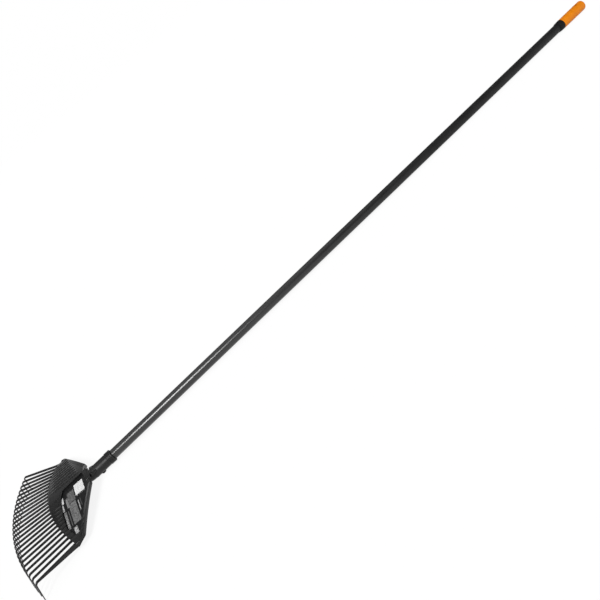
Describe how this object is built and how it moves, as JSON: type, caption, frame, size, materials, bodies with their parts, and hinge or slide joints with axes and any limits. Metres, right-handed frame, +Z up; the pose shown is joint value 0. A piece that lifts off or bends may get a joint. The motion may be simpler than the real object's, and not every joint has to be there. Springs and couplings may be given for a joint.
{
  "type": "leaf rake",
  "caption": "Leaf rake with a fan-shaped moulded head of thin hooked tines on a long coated tube, with a fixing screw, a collar and a coloured end cap with a hanging hole.",
  "frame": {"origin": "centre of the footprint on the ground, with the rake lying on its outer tines and its end cap", "axes": "+X along the shaft from the end cap to the tines, +Y across the head, +Z up, out of the back of the head"},
  "size_m": [1.7568, 0.4192, 0.044],
  "materials": {
    "head_plastic": "black polypropylene, fine satin grain",
    "shaft_coating": "black powder coat, satin near the head and matter towards the hand end",
    "collar_plastic": "black, smooth satin",
    "cap_plastic": "orange, smooth satin",
    "screw_steel": "black-coated steel",
    "label_film": null
  },
  "bodies": {
    "root": {"head_web": "head_plastic", "head_socket": "head_plastic", "tine_01": "head_plastic", "tine_02": "head_plastic", "tine_03": "head_plastic", "tine_04": "head_plastic", "tine_05": "head_plastic", "tine_06": "head_plastic", "tine_07": "head_plastic", "tine_08": "head_plastic", "tine_09": "head_plastic", "tine_10": "head_plastic", "tine_11": "head_plastic", "tine_12": "head_plastic", "tine_13": "head_plastic", "tine_14": "head_plastic", "tine_15": "head_plastic", "tine_16": "head_plastic", "tine_17": "head_plastic", "tine_18": "head_plastic", "tine_19": "head_plastic", "tine_20": "head_plastic", "tine_21": "head_plastic", "tine_22": "head_plastic", "tine_23": "head_plastic", "tine_24": "head_plastic", "tine_25": "head_plastic", "shaft_tube": "shaft_coating", "fixing_screw": "screw_steel", "end_collar": "collar_plastic", "end_cap": "cap_plastic", "label_card": "label_film"}
  },
  "joints": []
}
